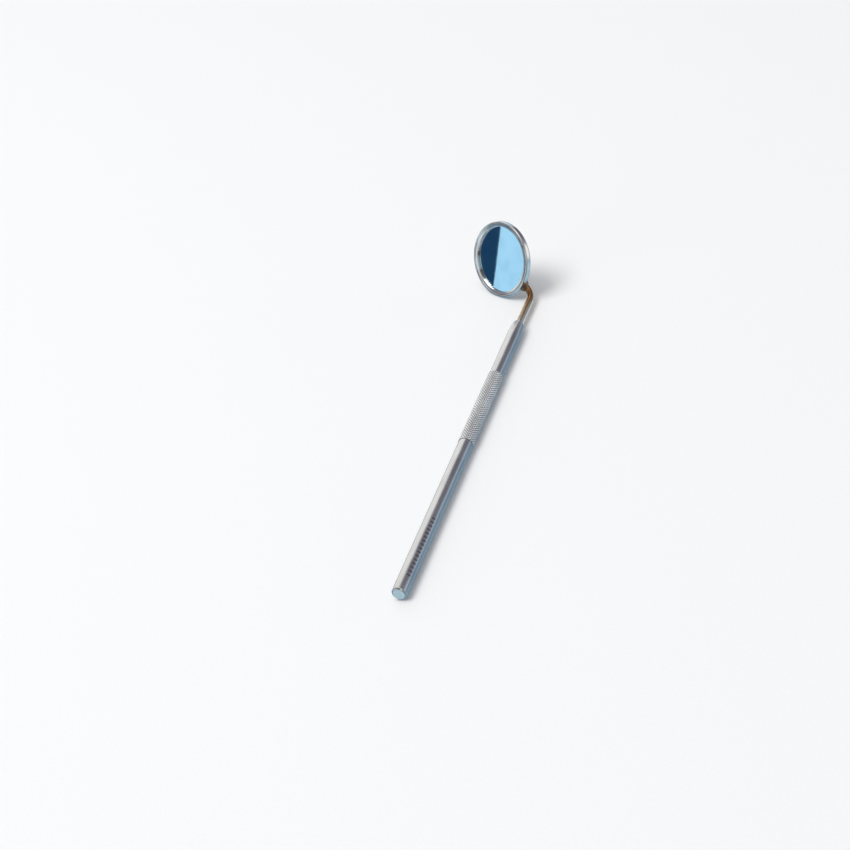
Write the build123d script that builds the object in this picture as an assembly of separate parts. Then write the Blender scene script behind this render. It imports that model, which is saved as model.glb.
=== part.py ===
from build123d import *
from math import cos, degrees, radians, sin, sqrt, tan
import os

# A dental mouth mirror, lying on a flat surface.
# It is designed in a frame of its own: X runs along the handle from its rear end to its nose,
# the head bends off towards Z, and Y is across the bend. The last section lays it down.
# Every length is in millimetres.

# ---- driving dimensions -------------------------------------------------------------------
HANDLE_LENGTH = 121.5
BARREL_R = 2.05
GRIP_R = 2.30
GRIP_START = 62.4
GRIP_END = 94.8

HEAD_R = 12.0
HEAD_ANGLE = 53.0        # between the handle's axis and the mirror's plane, in degrees
BEND_FROM_NOSE = 16.7    # from the nose's face to the corner of the stem's bend
CORNER_TO_CENTRE = 15.2  # from that corner to the mirror's centre, along the mirror's plane
STEM_R = 0.95
STEM_BEND_R = 5.0

# ---- handle details -----------------------------------------------------------------------
JOINT_R = 1.30           # spigots and sockets that hold the handle together
JOINT_LENGTH = 5.0
GRIP_CHAMFER = 0.20
PLUG_HEAD = 1.4
PLUG_SPIGOT = 4.0
PLUG_CHAMFER = 0.4
NOSE_TAPER = 7.0
NOSE_R = 1.75
NOSE_EDGE = 0.15

# ---- screw thread, M2.5 x 0.45 --------------------------------------------------------------
PITCH = 0.45
MALE_CREST_R = 1.22
FEMALE_ROOT_R = 1.28
FEMALE_BORE_R = 1.03
MALE_ROOT_WIDTH = 0.27
MALE_CREST_WIDTH = 0.06
FEMALE_MOUTH_WIDTH = 0.42
FEMALE_ROOT_WIDTH = 0.16
TOOTH_ROOT_SINK = 0.05   # how far a tooth's base reaches into what it joins
THREAD_START = HANDLE_LENGTH - 9.6
MALE_TURNS = 10
UNSCREW_TURNS = 9.5
LEAD_IN_TURNS = 1
SPIGOT_TIP = 0.5         # plain tip in front of the thread
BORE_RELIEF = 0.9        # plain bore past the tip
SEAL_R = 1.27
SEAL_POCKET_R = 1.30
SEAL_THICKNESS = 0.60
SEAL_CLEARANCE = 0.025

# ---- head details, heights above the silvered plane of the mirror ---------------------------
CUP_BACK = -0.80
CUP_WALL = 0.35
CUP_INNER_R = 11.10
CUP_EDGE_ROUND = 0.75
RIM_TOP = 1.35
RIM_SHOULDER = 0.95
GLASS_R = 10.50
GLASS_THICKNESS = 0.80
GLASS_BEVEL = 0.15
FILM_THICKNESS = 0.05
FILM_R = 10.40
RING_INNER_R = 10.40
RING_OUTER_R = 11.00
RING_SKIRT_INNER_R = 10.95
RING_LIP = 0.30
RING_CROWN = 0.52
RING_STEP = 0.10
SEAL_BEAD_TOP = 0.60

# ---- where the stem is brazed on the cup's back ---------------------------------------------
STEM_SEAT_DEPTH = 0.20   # flat that the stem's end has where it lies on the cup
STEM_LAP = 3.4           # length of the stem that lies on the cup's back
BRAZE_LENGTH = 3.2
BRAZE_WIDTH = 2.0
BRAZE_HEIGHT = 1.9
BRAZE_SHIFT = 0.3        # from the middle of the lap towards the mirror's centre

head_angle = radians(HEAD_ANGLE)
along_disc = Vector(cos(head_angle), 0, sin(head_angle))
disc_normal = Vector(-sin(head_angle), 0, cos(head_angle))
stem_axis_drop = STEM_R - STEM_SEAT_DEPTH - CUP_BACK
bend_corner = Vector(HANDLE_LENGTH + BEND_FROM_NOSE, 0, 0)
disc_centre = bend_corner + along_disc * CORNER_TO_CENTRE + disc_normal * stem_axis_drop
head_place = Plane(origin=disc_centre, x_dir=along_disc, z_dir=disc_normal).location
along_handle = Rot(Y=90)


def turned(*outline):
    """A solid of revolution about X, from (distance along X, radius) points joined by straight lines."""
    face = make_face(Polyline(*[(x, 0, r) for x, r in outline], close=True))
    return revolve(face, Axis.X)


def spun_on_disc(*edges):
    """A solid of revolution about the head's own Z, from edges in its XZ plane."""
    return head_place * revolve(make_face(Wire(edges)), Axis.Z)


def disc_line(*points):
    """Straight edges through (radius, height) points in the head's XZ plane."""
    corners = [(r, 0, z) for r, z in points]
    return [Line(a, b) for a, b in zip(corners, corners[1:])]


def rod(start, end, radius):
    """A plain cylinder along X from start to end."""
    return Pos(X=start) * along_handle * extrude(Circle(radius), end - start)


def helical_tooth(inner_r, outer_r, inner_width, outer_width, start, turns):
    """A right-hand thread tooth about X: a trapezoid carried along a helix."""
    path = Helix(pitch=PITCH, height=PITCH * turns, radius=inner_r)
    section = make_face(
        Polyline(
            (inner_r, 0, -inner_width / 2),
            (outer_r, 0, -outer_width / 2),
            (outer_r, 0, outer_width / 2),
            (inner_r, 0, inner_width / 2),
            close=True,
        )
    )
    return Pos(X=start) * along_handle * sweep(section, path=path, is_frenet=True)


# ---- the handle -----------------------------------------------------------------------------
def make_end_plug():
    """Plug with a chamfered face, pressed into the rear tube."""
    return turned(
        (0, 0),
        (0, BARREL_R - PLUG_CHAMFER),
        (PLUG_CHAMFER, BARREL_R),
        (PLUG_HEAD, BARREL_R),
        (PLUG_HEAD, JOINT_R),
        (PLUG_HEAD + PLUG_SPIGOT, JOINT_R),
        (PLUG_HEAD + PLUG_SPIGOT, 0),
    )


def make_rear_barrel():
    """Plain tube from the end plug to the grip."""
    return rod(PLUG_HEAD, GRIP_START, BARREL_R) - rod(PLUG_HEAD, GRIP_START, JOINT_R)


def make_knurled_grip():
    """Thicker band with a spigot for the rear tube and a socket for the front barrel."""
    band = turned(
        (GRIP_START - JOINT_LENGTH, 0),
        (GRIP_START - JOINT_LENGTH, JOINT_R),
        (GRIP_START, JOINT_R),
        (GRIP_START, GRIP_R - GRIP_CHAMFER),
        (GRIP_START + GRIP_CHAMFER, GRIP_R),
        (GRIP_END - GRIP_CHAMFER, GRIP_R),
        (GRIP_END, GRIP_R - GRIP_CHAMFER),
        (GRIP_END, 0),
    )
    return band - rod(GRIP_END - JOINT_LENGTH, GRIP_END, JOINT_R)


def make_front_barrel():
    """Front piece with a tapered nose, tapped inside for the stem."""
    taper_start = HANDLE_LENGTH - NOSE_TAPER
    taper_end = HANDLE_LENGTH - NOSE_EDGE
    spigot_end = GRIP_END - JOINT_LENGTH
    curve = TangentArc((taper_start, 0, BARREL_R), (taper_end, 0, NOSE_R), tangent=(1, 0, 0))
    outline = [
        Line((spigot_end, 0, 0), (spigot_end, 0, JOINT_R)),
        Line((spigot_end, 0, JOINT_R), (GRIP_END, 0, JOINT_R)),
        Line((GRIP_END, 0, JOINT_R), (GRIP_END, 0, BARREL_R)),
        Line((GRIP_END, 0, BARREL_R), (taper_start, 0, BARREL_R)),
        curve,
        Line((taper_end, 0, NOSE_R), (HANDLE_LENGTH, 0, NOSE_R - NOSE_EDGE)),
        Line((HANDLE_LENGTH, 0, NOSE_R - NOSE_EDGE), (HANDLE_LENGTH, 0, 0)),
        Line((HANDLE_LENGTH, 0, 0), (spigot_end, 0, 0)),
    ]
    barrel = revolve(make_face(Wire(outline)), Axis.X)
    bore = rod(THREAD_START - SPIGOT_TIP - BORE_RELIEF, HANDLE_LENGTH, FEMALE_BORE_R)
    pocket = rod(HANDLE_LENGTH - SEAL_THICKNESS, HANDLE_LENGTH, SEAL_POCKET_R)
    groove = helical_tooth(
        FEMALE_BORE_R - TOOTH_ROOT_SINK,
        FEMALE_ROOT_R,
        FEMALE_MOUTH_WIDTH,
        FEMALE_ROOT_WIDTH,
        THREAD_START - LEAD_IN_TURNS * PITCH,
        LEAD_IN_TURNS + MALE_TURNS + UNSCREW_TURNS,
    )
    return barrel - bore - pocket - groove


def make_seal_ring():
    """Thin ring in the nose's pocket, round the stem."""
    start = HANDLE_LENGTH - SEAL_THICKNESS
    ring = rod(start, HANDLE_LENGTH, SEAL_R)
    return ring - rod(start, HANDLE_LENGTH, STEM_R + SEAL_CLEARANCE)


# ---- the stem -------------------------------------------------------------------------------
def make_stem(cup):
    """Bent rod with a threaded spigot; its end has a flat where it lies on the cup's back."""
    tip = THREAD_START - SPIGOT_TIP
    bend_setback = STEM_BEND_R * tan(head_angle / 2)
    bend_start = bend_corner - Vector(bend_setback, 0, 0)
    bend_end = bend_corner + along_disc * bend_setback
    end = bend_corner + along_disc * (CORNER_TO_CENTRE - HEAD_R + STEM_LAP)
    first_run = Line((tip, 0, 0), bend_start)
    bend = TangentArc(bend_start, bend_end, tangent=(1, 0, 0))
    last_run = Line(bend_end, end)
    section = Pos(X=tip) * along_handle * Circle(STEM_R)
    body = sweep(section, path=Wire([first_run, bend, last_run]))
    tooth = helical_tooth(
        STEM_R - TOOTH_ROOT_SINK, MALE_CREST_R, MALE_ROOT_WIDTH, MALE_CREST_WIDTH, THREAD_START, MALE_TURNS
    )
    return body + tooth - cup


def make_braze_fillet(cup, stem):
    """Mound of brazing metal that wraps the end of the stem."""
    mound = scale(Sphere(1), by=(BRAZE_LENGTH, BRAZE_WIDTH, BRAZE_HEIGHT))
    mound = head_place * Pos(X=STEM_LAP / 2 - HEAD_R + BRAZE_SHIFT, Z=CUP_BACK) * mound
    floor = CUP_BACK + CUP_WALL
    inside_r = (CUP_INNER_R + HEAD_R) / 2
    cup_inside = head_place * Pos(Z=floor) * extrude(Circle(inside_r), RIM_TOP - floor)
    return mound - cup - cup_inside - stem


# ---- the mirror head ------------------------------------------------------------------------
def make_mirror_cup():
    """Pressed cup: flat back, rounded edge and a rim rolled over at the front."""
    rim_middle_r = (CUP_INNER_R + HEAD_R) / 2
    lower = HEAD_R - CUP_EDGE_ROUND
    outline = [
        *disc_line((0, CUP_BACK), (lower, CUP_BACK)),
        TangentArc((lower, 0, CUP_BACK), (HEAD_R, 0, CUP_BACK + CUP_EDGE_ROUND), tangent=(1, 0, 0)),
        *disc_line((HEAD_R, CUP_BACK + CUP_EDGE_ROUND), (HEAD_R, RIM_SHOULDER)),
        ThreePointArc((HEAD_R, 0, RIM_SHOULDER), (rim_middle_r, 0, RIM_TOP), (CUP_INNER_R, 0, RIM_SHOULDER)),
        *disc_line(
            (CUP_INNER_R, RIM_SHOULDER),
            (CUP_INNER_R, CUP_BACK + CUP_WALL),
            (0, CUP_BACK + CUP_WALL),
            (0, CUP_BACK),
        ),
    ]
    return spun_on_disc(*outline)


def make_backing_disc():
    """Packing between the cup's floor and the mirror's painted back."""
    bottom = CUP_BACK + CUP_WALL
    top = -2 * FILM_THICKNESS
    return spun_on_disc(*disc_line((0, bottom), (GLASS_R, bottom), (GLASS_R, top), (0, top), (0, bottom)))


def make_film(radius, bottom):
    """One thin layer on the back of the glass."""
    top = bottom + FILM_THICKNESS
    return spun_on_disc(*disc_line((0, bottom), (radius, bottom), (radius, top), (0, top), (0, bottom)))


def make_mirror_glass():
    """Round flat glass with a bevelled front edge."""
    return spun_on_disc(
        *disc_line(
            (0, 0),
            (GLASS_R, 0),
            (GLASS_R, GLASS_THICKNESS - GLASS_BEVEL),
            (GLASS_R - GLASS_BEVEL, GLASS_THICKNESS),
            (0, GLASS_THICKNESS),
            (0, 0),
        )
    )


def make_edge_seal():
    """Cement bead between the glass's edge and the retaining ring's skirt."""
    return spun_on_disc(
        *disc_line(
            (GLASS_R, 0),
            (RING_SKIRT_INNER_R, 0),
            (RING_SKIRT_INNER_R, SEAL_BEAD_TOP),
            (GLASS_R, SEAL_BEAD_TOP),
            (GLASS_R, 0),
        )
    )


def make_retaining_ring():
    """Ring with a sloping face that holds the glass, and a skirt pressed into the cup."""
    skirt_bottom = -2 * FILM_THICKNESS
    return spun_on_disc(
        *disc_line(
            (RING_INNER_R, GLASS_THICKNESS),
            (RING_INNER_R, GLASS_THICKNESS + RING_LIP),
            (RING_OUTER_R, GLASS_THICKNESS + RING_CROWN),
            (RING_OUTER_R, RIM_SHOULDER),
            (CUP_INNER_R, RIM_SHOULDER - RING_STEP),
            (CUP_INNER_R, skirt_bottom),
            (RING_SKIRT_INNER_R, skirt_bottom),
            (RING_SKIRT_INNER_R, GLASS_THICKNESS),
            (RING_INNER_R, GLASS_THICKNESS),
        )
    )


# ---- laying it down -------------------------------------------------------------------------
def resting_lean():
    """Angle of the bend above the surface, in degrees, when the grip and the rim both touch it.

    The rim is a ring of radius ring_r round a point that lies off_axis from the handle's axis.
    At a lean p its lowest point is off_axis * sin p - ring_r * sqrt(1 - (cos head * sin p)^2) - edge_r
    from the axis, and the grip's is -GRIP_R. Halving the range finds where they are equal.
    """
    edge_r = (HEAD_R - CUP_INNER_R) / 2
    ring_r = HEAD_R - edge_r
    ring_centre = disc_centre + disc_normal * (RIM_TOP - edge_r)
    low, high = 0.0, radians(90)
    for _ in range(60):
        lean = (low + high) / 2
        reach = ring_r * sqrt(1 - (cos(head_angle) * sin(lean)) ** 2)
        if ring_centre.Z * sin(lean) - reach - edge_r < -GRIP_R:
            low = lean
        else:
            high = lean
    return degrees(lean)


mirror_cup = make_mirror_cup()
stem = make_stem(mirror_cup)
pieces = {
    "end_plug": make_end_plug(),
    "rear_barrel": make_rear_barrel(),
    "knurled_grip": make_knurled_grip(),
    "front_barrel": make_front_barrel(),
    "seal_ring": make_seal_ring(),
    "stem": stem,
    "braze_fillet": make_braze_fillet(mirror_cup, stem),
    "mirror_cup": mirror_cup,
    "backing_disc": make_backing_disc(),
    "backing_paint": make_film(FILM_R, -2 * FILM_THICKNESS),
    "silver_film": make_film(FILM_R, -FILM_THICKNESS),
    "mirror_glass": make_mirror_glass(),
    "edge_seal": make_edge_seal(),
    "retaining_ring": make_retaining_ring(),
}

lean = resting_lean()
leaned = {name: Rot(X=lean - 90) * piece for name, piece in pieces.items()}
boxes = [piece.bounding_box() for piece in leaned.values()]
low_x = min(box.min.X for box in boxes)
high_x = max(box.max.X for box in boxes)
low_y = min(box.min.Y for box in boxes)
high_y = max(box.max.Y for box in boxes)
to_origin = Pos(-(low_x + high_x) / 2, -(low_y + high_y) / 2, GRIP_R)

os.makedirs("parts", exist_ok=True)
for name, piece in leaned.items():
    export_step(to_origin * piece, f"parts/{name}.step")

print("lean of the bend above the surface", round(lean, 4))
print("rear end of the handle's axis", to_origin.position)
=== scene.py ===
import math

import bpy
import numpy as np
from bpy.props import FloatProperty, FloatVectorProperty, IntProperty, PointerProperty
from bpy.types import Operator, Panel, PropertyGroup
from mathutils import Matrix, Vector


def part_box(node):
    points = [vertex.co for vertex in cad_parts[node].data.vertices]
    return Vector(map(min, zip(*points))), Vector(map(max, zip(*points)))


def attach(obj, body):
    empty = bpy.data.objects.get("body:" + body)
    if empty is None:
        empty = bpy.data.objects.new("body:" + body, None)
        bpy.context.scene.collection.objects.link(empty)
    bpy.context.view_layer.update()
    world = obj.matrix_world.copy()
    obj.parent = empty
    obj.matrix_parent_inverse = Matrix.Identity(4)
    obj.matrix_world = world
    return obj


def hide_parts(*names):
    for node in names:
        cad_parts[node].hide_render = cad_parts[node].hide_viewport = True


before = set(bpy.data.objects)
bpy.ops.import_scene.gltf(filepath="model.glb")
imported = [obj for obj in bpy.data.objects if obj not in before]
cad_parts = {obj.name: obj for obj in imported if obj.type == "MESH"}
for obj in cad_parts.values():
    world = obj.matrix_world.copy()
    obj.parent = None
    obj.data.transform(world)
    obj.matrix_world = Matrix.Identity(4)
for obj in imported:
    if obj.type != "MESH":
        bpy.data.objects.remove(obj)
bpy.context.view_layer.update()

bl_info = {
    "name": "Mouth Mirror",
    "version": (1, 0, 0),
    "blender": (4, 5, 0),
    "location": "3D View > Sidebar > Mouth Mirror",
    "description": "Builds the finished look of a dental mouth mirror round its solid model",
    "category": "Add Mesh",
}

MM = 0.001
TURN = 2 * math.pi
HANDLE_COLUMNS = 128            # points round the handle's plain pieces
HEAD_COLUMNS = 192              # points round the cup and its ring
GLASS_COLUMNS = 160             # points round the glass and its film


# ---- places read from the solid model --------------------------------------------------------
def box_centre(node_name):
    """Middle of a node's box, as an array in metres."""
    low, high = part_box(node_name)
    return np.array((low + high) / 2)


REAR = np.array([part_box("end_plug")[0].x, *box_centre("end_plug")[1:]])
BARREL_R = round(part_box("rear_barrel")[1].z - REAR[2], 5)
GRIP_R = round(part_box("knurled_grip")[1].z - REAR[2], 5)
PLUG_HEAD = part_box("rear_barrel")[0].x - REAR[0]
PLUG_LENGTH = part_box("end_plug")[1].x - REAR[0]
GRIP_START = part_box("rear_barrel")[1].x - REAR[0]
GRIP_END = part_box("knurled_grip")[1].x - REAR[0]
REAR_SPIGOT_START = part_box("knurled_grip")[0].x - REAR[0]
FRONT_SPIGOT_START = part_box("front_barrel")[0].x - REAR[0]
HANDLE_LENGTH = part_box("front_barrel")[1].x - REAR[0]
SEAL_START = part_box("seal_ring")[0].x - REAR[0]
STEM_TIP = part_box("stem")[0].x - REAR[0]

HEAD_ANGLE = math.radians(53)   # between the handle's axis and the mirror's plane
FILM_THICKNESS = 0.05 * MM
AXIS = np.array([1.0, 0.0, 0.0])
towards_disc = box_centre("silver_film") - REAR
towards_disc[0] = 0.0
BEND = towards_disc / np.linalg.norm(towards_disc)        # the way the head leaves the handle's axis
SIDE = np.cross(AXIS, BEND)
ALONG_DISC = math.cos(HEAD_ANGLE) * AXIS + math.sin(HEAD_ANGLE) * BEND
DISC_NORMAL = math.cos(HEAD_ANGLE) * BEND - math.sin(HEAD_ANGLE) * AXIS
DISC_CENTRE = box_centre("silver_film") + DISC_NORMAL * FILM_THICKNESS / 2

JOINT_R = 1.30 * MM             # spigots and sockets inside the handle
SPIGOT_ROUNDING = 0.10 * MM
INSIDE_ROUNDING = 0.02 * MM     # corners that no one sees
PLUG_CHAMFER = 0.40 * MM
GRIP_CHAMFER = 0.20 * MM
SHOULDER_R = GRIP_R * 0.87      # the grip's end faces end here, below the knurl's grooves

STEM_R = 0.95 * MM
STEM_BEND_R = 5.0 * MM
STEM_LAP = 3.4 * MM             # of the stem's end on the cup's back
CORNER_FROM_NOSE = 16.7 * MM
CORNER_TO_CENTRE = 15.2 * MM
HEAD_R = 12.0 * MM
CUP_BACK = -0.80 * MM           # heights are from the silvered plane
CUP_EDGE_R = 0.75 * MM

POCKET_R = 1.30 * MM            # the seal ring's pocket in the nose
SEAL_R = 1.27 * MM
SEAL_GAP = 0.025 * MM           # between the ring and the stem
SEAL_RECESS = 0.04 * MM         # of the ring below the nose's face

MARK_START = 5.0 * MM           # first of the etched ticks, from the handle's rear end
MARK_PITCH = 1.5 * MM
MARK_COUNT = 16
MARK_ANGLE = math.radians(16)   # half of a tick's length round the barrel

PITCH = 0.45 * MM               # M2.5 coarse thread
MALE_START = HANDLE_LENGTH - 9.6 * MM
MALE_LENGTH = 10 * PITCH
TOOTH_R = 1.22 * MM
TOOTH_ROOT_WIDTH = 0.27 * MM
TOOTH_CREST_WIDTH = 0.06 * MM
FEMALE_START = MALE_START - PITCH
FEMALE_LENGTH = 20.5 * PITCH
BORE_R = 1.03 * MM
BORE_PAST_STEM = 0.9 * MM
GROOVE_R = 1.28 * MM
GROOVE_MOUTH_WIDTH = 0.42 * MM
GROOVE_FLOOR_WIDTH = 0.16 * MM


# ---- meshes -----------------------------------------------------------------------------------
def mesh_object(name, vertices, triangles, body, material, replaced, slot):
    """A smooth closed piece from arrays of points and triangles; it rides on a body and replaces a node.

    The signed volume, a sum of each triangle's corners' triple product, tells whether the faces point
    outwards; if it is negative, every triangle is turned round.
    """
    a, b, c = (vertices[triangles[:, k]] for k in range(3))
    middle = vertices.mean(axis=0)
    if np.einsum("ij,ij->i", a - middle, np.cross(b - middle, c - middle)).sum() < 0:
        triangles = triangles[:, ::-1]
    mesh = bpy.data.meshes.new(name)
    mesh.vertices.add(len(vertices))
    mesh.vertices.foreach_set("co", vertices.astype(np.float32).ravel())
    mesh.loops.add(triangles.size)
    mesh.loops.foreach_set("vertex_index", triangles.astype(np.int32).ravel())
    mesh.polygons.add(len(triangles))
    mesh.polygons.foreach_set("loop_start", np.arange(0, triangles.size, 3, dtype=np.int32))
    mesh.update(calc_edges=True)
    mesh.shade_smooth()
    if mesh.validate():
        raise RuntimeError(f"{name} has faulty faces")
    piece = bpy.data.objects.new(name, mesh)
    bpy.context.scene.collection.objects.link(piece)
    piece.data.materials.append(material)
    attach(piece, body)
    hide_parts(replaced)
    return piece


def split_quads(heights, corners):
    """Two triangles for each grid cell, cut along the diagonal whose ends lie lower, so that a groove
    that runs across the cells keeps a straight bottom."""
    low_left, low_right, high_right, high_left = corners
    first = heights[low_left] + heights[high_right] <= heights[low_right] + heights[high_left]
    one = np.where(
        first[:, None],
        np.stack([low_left, low_right, high_right], axis=1),
        np.stack([low_left, low_right, high_left], axis=1),
    )
    two = np.where(
        first[:, None],
        np.stack([low_left, high_right, high_left], axis=1),
        np.stack([low_right, high_right, high_left], axis=1),
    )
    return np.concatenate([one, two])


def round_surface(points, radius, closed_rows):
    """Vertices and triangles of a surface that closes on itself round its axis.

    points is a grid (rows along the profile, columns round the axis). A first or last row of radius zero
    becomes one point with a fan of triangles. closed_rows joins the last row to the first, as in a ring.
    """
    rows, columns = radius.shape
    poles = [] if closed_rows else [k for k in (0, rows - 1) if radius[k].max() == 0]
    body = np.arange(rows)
    body = body[[k not in poles for k in range(rows)]]
    vertices = points[body].reshape(-1, 3)
    heights = radius[body].ravel()
    index = np.arange(len(body) * columns).reshape(len(body), columns)
    if closed_rows:
        index = np.concatenate([index, index[:1]])
    across = np.roll(index, -1, axis=1)
    corners = [index[:-1].ravel(), across[:-1].ravel(), across[1:].ravel(), index[1:].ravel()]
    triangles = [split_quads(heights, corners)]
    for pole in poles:
        ring = index[0] if pole == 0 else index[-1]
        tip = np.full(columns, len(vertices))
        fan = [ring, tip, np.roll(ring, -1)] if pole == 0 else [np.roll(ring, -1), tip, ring]
        triangles.append(np.stack(fan, axis=1))
        vertices = np.concatenate([vertices, points[pole][:1]])
    return vertices, np.concatenate(triangles)


def angles(columns):
    """Equal angles round a circle."""
    return np.arange(columns) * TURN / columns


def lathe_points(along, radius, origin, axis, start):
    """Grid of points: each is origin + along * axis + radius * (cos a * start + sin a * side), where a is
    the column's angle and side is square to both axis and start."""
    side = np.cross(axis, start)
    angle = angles(radius.shape[1])[None, :, None]
    spoke = np.cos(angle) * start + np.sin(angle) * side
    return origin + along[..., None] * axis + radius[..., None] * spoke


def profile(corners, closed=False, steps=6):
    """Outline of straight runs through (along, radius, rounding) corners.

    A corner is an arc of a circle that touches both runs at the rounding's distance from the corner: a
    weighted mean of the two touching points and the corner, whose weight is the sine of half the angle
    between the runs. One more point just past each end of it keeps the flats beside it flat.
    """
    outline = []
    spots = np.array([corner[:2] for corner in corners])
    count = len(corners)
    for k, (_, _, rounding) in enumerate(corners):
        here = spots[k]
        if rounding == 0 or (not closed and k in (0, count - 1)):
            outline.append(here[None])
            continue
        back = spots[k - 1] - here
        ahead = spots[(k + 1) % count] - here
        back = back / np.linalg.norm(back)
        ahead = ahead / np.linalg.norm(ahead)
        weight = math.sqrt((1 - float(back @ ahead)) / 2)
        t = np.linspace(0, 1, steps + 1)[:, None]
        first, last = here + back * rounding, here + ahead * rounding
        parts = ((1 - t) ** 2, 2 * t * (1 - t) * weight, t**2)
        bend = (parts[0] * first + parts[1] * here + parts[2] * last) / sum(parts)
        outline += [(first + back * rounding * 0.25)[None], bend, (last + ahead * rounding * 0.25)[None]]
    return np.concatenate(outline)


def on_handle(outline, columns, wave=None):
    """Grid of a shape turned about the handle's axis; wave(along, angle, radius) may change the radius."""
    along = np.repeat(outline[:, :1], columns, axis=1)
    radius = np.repeat(outline[:, 1:], columns, axis=1)
    if wave:
        radius = wave(along, angles(columns)[None, :], radius)
    return lathe_points(along, radius, REAR, AXIS, BEND), radius


def on_disc(outline, columns):
    """Grid of a shape turned about the mirror's own axis, heights measured from the silvered plane."""
    along = np.repeat(outline[:, :1], columns, axis=1)
    radius = np.repeat(outline[:, 1:], columns, axis=1)
    return lathe_points(along, radius, DISC_CENTRE, DISC_NORMAL, ALONG_DISC), radius


def mm(*corners):
    """(along, radius, rounding) corners from millimetres to metres."""
    return [tuple(value * MM for value in corner) for corner in corners]


def thread_height(along, angle, start, length, root_width, crest_width):
    """How far up a right-hand thread's tooth each point is, from 0 to 1.

    The distance along the axis to the nearest turn of the helix gives a trapezoid, and the tooth fades
    in and out over a third of a turn at both ends.
    """
    phase = (along - start) / PITCH - angle / TURN
    distance = np.abs(phase - np.round(phase)) * PITCH
    flank = np.clip((root_width / 2 - distance) / (root_width / 2 - crest_width / 2), 0, 1)
    fade_in = np.clip((along - start) / (PITCH / 3), 0, 1)
    fade_out = np.clip((start + length - along) / (PITCH / 3), 0, 1)
    return flank * fade_in * fade_out


# ---- shader nodes -------------------------------------------------------------------------------
def linear(hex_colour):
    """sRGB hex colour to linear red, green, blue and alpha."""
    levels = [int(hex_colour[k:k + 2], 16) / 255 for k in (1, 3, 5)]
    return (*[v / 12.92 if v <= 0.04045 else ((v + 0.055) / 1.055) ** 2.4 for v in levels], 1.0)


def add_node(tree, kind, settings=None, links=None, stops=None, output=0):
    """Add a node and return one of its output sockets.

    settings are attributes or input values by name, links are sockets to join to its inputs, and stops are
    a colour ramp's (place, colour) pairs.
    """
    node = tree.nodes.new(kind)
    for key, value in (settings or {}).items():
        if isinstance(key, str) and hasattr(node, key):
            setattr(node, key, value)
        else:
            node.inputs[key].default_value = value
    for key, socket in (links or {}).items():
        tree.links.new(socket, node.inputs[key])
    if stops:
        elements = node.color_ramp.elements
        while len(elements) < len(stops):
            elements.new(0.5)
        for element, (place, colour) in zip(elements, stops):
            element.position = place
            element.color = colour
    return node.outputs[output]


def new_material(name, **settings):
    """A material with one Principled shader with these constant settings, and its object coordinates."""
    material = bpy.data.materials.new(name)
    material.use_nodes = True
    tree = material.node_tree
    shader = tree.nodes["Principled BSDF"]
    for key, value in settings.items():
        shader.inputs[key.replace("_", " ")].default_value = value
    return material, tree, shader, add_node(tree, "ShaderNodeTexCoord", output="Object")


def stretched_noise(tree, place, size_mm, detail=3.0):
    """Noise whose grain is size_mm long along X, Y and Z, in millimetres."""
    scale = tuple(1 / (size * MM) for size in size_mm)
    scaled = add_node(tree, "ShaderNodeMapping", {"Scale": scale}, {"Vector": place})
    return add_node(tree, "ShaderNodeTexNoise", {"Scale": 1.0, "Detail": detail}, {"Vector": scaled})


def two_tones(low, high):
    """Ramp stops that blend two colours over the middle of a noise's range."""
    return [(0.35, low), (0.65, high)]


def finish(tree, shader, tint=None, rough=None, bumps=(), rough_from=(0.3, 0.7)):
    """Join a material's patterns to its shader.

    tint is a pattern and the ramp stops that colour it. rough is a pattern and the roughness at the ends of
    its range, which rough_from gives. bumps are patterns with their depths in millimetres, each laid on the
    one before.
    """
    if tint:
        pattern, stops = tint
        colour = add_node(tree, "ShaderNodeValToRGB", links={"Fac": pattern}, stops=stops)
        tree.links.new(colour, shader.inputs["Base Color"])
    pattern, smoothest, roughest = rough
    ends = {"From Min": rough_from[0], "From Max": rough_from[1], "To Min": smoothest, "To Max": roughest}
    roughness = add_node(tree, "ShaderNodeMapRange", ends, {"Value": pattern})
    tree.links.new(roughness, shader.inputs["Roughness"])
    links = {}
    for height, depth_mm in bumps:
        links["Height"] = height
        depth = {"Strength": 1.0, "Distance": depth_mm * MM}
        links["Normal"] = add_node(tree, "ShaderNodeBump", depth, links)
    if bumps:
        tree.links.new(links["Normal"], shader.inputs["Normal"])


# ---- materials ------------------------------------------------------------------------------------
def turned_stainless(looks):
    """Turned and polished stainless bar: fine rings from the lathe tool, faint lengthwise polishing lines
    and finger marks, which break a long reflection into soft streaks."""
    material, tree, shader, place = new_material("turned_stainless", Metallic=1.0)
    # Tool rings are about 0.05 mm apart; 0.16 mm is the finest that shows.
    rings = stretched_noise(tree, place, (0.16, 9.0, 9.0), detail=2.0)
    polish = stretched_noise(tree, place, (14.0, 0.12, 0.12), detail=2.0)
    smears = stretched_noise(tree, place, (9.0, 2.2, 2.2), detail=4.0)
    tones = two_tones(linear("#D2D1CF"), (*looks.steel, 1.0))
    finish(tree, shader, (smears, tones), (smears, 0.17, 0.27), [(rings, 0.0008), (polish, 0.0012)])
    return material


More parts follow.
